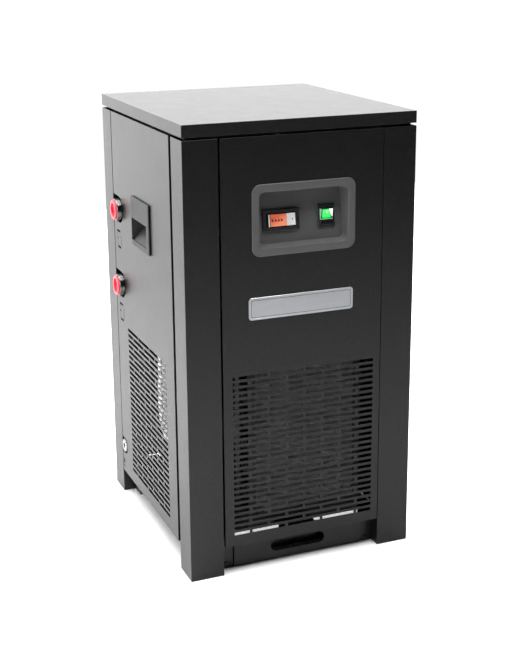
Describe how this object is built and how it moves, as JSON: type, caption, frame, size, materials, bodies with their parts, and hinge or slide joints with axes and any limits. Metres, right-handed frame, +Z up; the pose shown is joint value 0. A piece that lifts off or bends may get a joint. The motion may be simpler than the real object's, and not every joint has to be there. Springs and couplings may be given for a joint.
{
  "type": "refrigerated air dryer",
  "caption": "Black upright cabinet air dryer with louvred front and sides, recessed control panel, side air ports with plugs, fan-cooled condenser, compressor and heat exchanger inside.",
  "frame": {"origin": "centre of the whole object's box at the floor; the cabinet's own centre is 4.5 mm right of it and 7 mm in front of it, because the port plugs stand out on the left and the cable gland at the rear", "axes": "+Z up, -Y the front with the controls, -X the side with the air ports"},
  "size_m": [0.4544, 0.5026, 0.825],
  "materials": {
    "black_paint": "fine-textured semi-gloss powder coat",
    "galvanised_steel": "bare galvanised sheet",
    "seal_foam": "closed-cell sponge",
    "handle_plastic": "moulded, fine grain",
    "bezel_plastic": "moulded, coarse grain",
    "housing_plastic": "moulded",
    "window_gloss": "polished",
    "keypad_orange": "membrane film",
    "key_rubber": "matte",
    "switch_green": "translucent, polished",
    "badge_metal": "brushed, clear coated",
    "plug_red": "satin",
    "nickel": "plated, slightly dull",
    "copper": "drawn tube, lightly oxidised",
    "brass": "machined",
    "aluminium": "bare",
    "compressor_paint": "semi-gloss black",
    "hose": "smooth nylon",
    "conduit": "spiral wrapped"
  },
  "bodies": {
    "cabinet": {"badge_plate": "badge_metal", "base_bracket_front_left": "black_paint", "base_bracket_front_right": "black_paint", "base_bracket_rear_left": "black_paint", "base_bracket_rear_right": "black_paint", "base_deck": "black_paint", "base_rail_front": "black_paint", "base_rail_rear": "black_paint", "cable_gland": "housing_plastic", "capillary_line": "copper", "compressor_feet": "compressor_paint", "compressor_shell": "compressor_paint", "condenser_coil": "aluminium", "condenser_support": "black_paint", "control_bezel": "bezel_plastic", "controller_housing": "housing_plastic", "controller_keypad": "keypad_orange", "controller_window": "window_gloss", "corner_post_front_left": "black_paint", "corner_post_front_right": "black_paint", "corner_post_rear_left": "black_paint", "corner_post_rear_right": "black_paint", "discharge_line": "copper", "drain_coil": "housing_plastic", "drain_fitting": "nickel", "drain_hose": "hose", "drain_valve": "brass", "electrical_box": "galvanised_steel", "exchanger_jacket": "seal_foam", "exchanger_stand": "galvanised_steel", "fan_motor": "compressor_paint", "fan_shroud": "black_paint", "filter_drier": "copper", "front_panel": "black_paint", "handle_cup_left": "handle_plastic", "handle_cup_right": "handle_plastic", "heat_exchanger": "aluminium", "inlet_fitting": "nickel", "inlet_pipe": "copper", "lid_seal": "seal_foam", "liquid_line": "copper", "motor_bracket": "galvanised_steel", "outlet_fitting": "nickel", "outlet_pipe": "copper", "rear_panel": "black_paint", "side_panel_left": "black_paint", "side_panel_right": "black_paint", "suction_line": "copper", "switch_housing": "housing_plastic", "terminal_cover": "housing_plastic", "top_cover": "black_paint", "wiring_conduit": "conduit"},
    "rocker": {"switch_rocker": "switch_green"},
    "fan": {"fan_blade": "housing_plastic"},
    "inlet_plug_body": {"inlet_plug": "plug_red"},
    "outlet_plug_body": {"outlet_plug": "plug_red"},
    "key_1": {"controller_key_1": "key_rubber"},
    "key_2": {"controller_key_2": "key_rubber"},
    "key_3": {"controller_key_3": "key_rubber"},
    "key_4": {"controller_key_4": "key_rubber"}
  },
  "joints": [
    {"name": "switch_rocker_hinge", "type": "hinge", "parent": "cabinet", "child": "rocker", "pos_m": [0.056, -0.2258, 0.64677], "axis": [1, 0, 0], "range_deg": [-18, 0]},
    {"name": "fan_spin", "type": "hinge", "parent": "cabinet", "child": "fan", "pos_m": [0.0255, -0.135, 0.23], "axis": [0, 1, 0], "continuous": true},
    {"name": "inlet_plug_slide", "type": "slide", "parent": "cabinet", "child": "inlet_plug_body", "axis": [-1, 0, 0], "range_m": [0, 0.03]},
    {"name": "outlet_plug_slide", "type": "slide", "parent": "cabinet", "child": "outlet_plug_body", "axis": [-1, 0, 0], "range_m": [0, 0.03]},
    {"name": "key_1_press", "type": "slide", "parent": "cabinet", "child": "key_1", "axis": [0, 0.9869, -0.1611], "range_m": [0, 0.0005], "stiffness_N_per_m": 600},
    {"name": "key_2_press", "type": "slide", "parent": "cabinet", "child": "key_2", "axis": [0, 0.9869, -0.1611], "range_m": [0, 0.0005], "stiffness_N_per_m": 600},
    {"name": "key_3_press", "type": "slide", "parent": "cabinet", "child": "key_3", "axis": [0, 0.9869, -0.1611], "range_m": [0, 0.0005], "stiffness_N_per_m": 600},
    {"name": "key_4_press", "type": "slide", "parent": "cabinet", "child": "key_4", "axis": [0, 0.9869, -0.1611], "range_m": [0, 0.0005], "stiffness_N_per_m": 600}
  ]
}
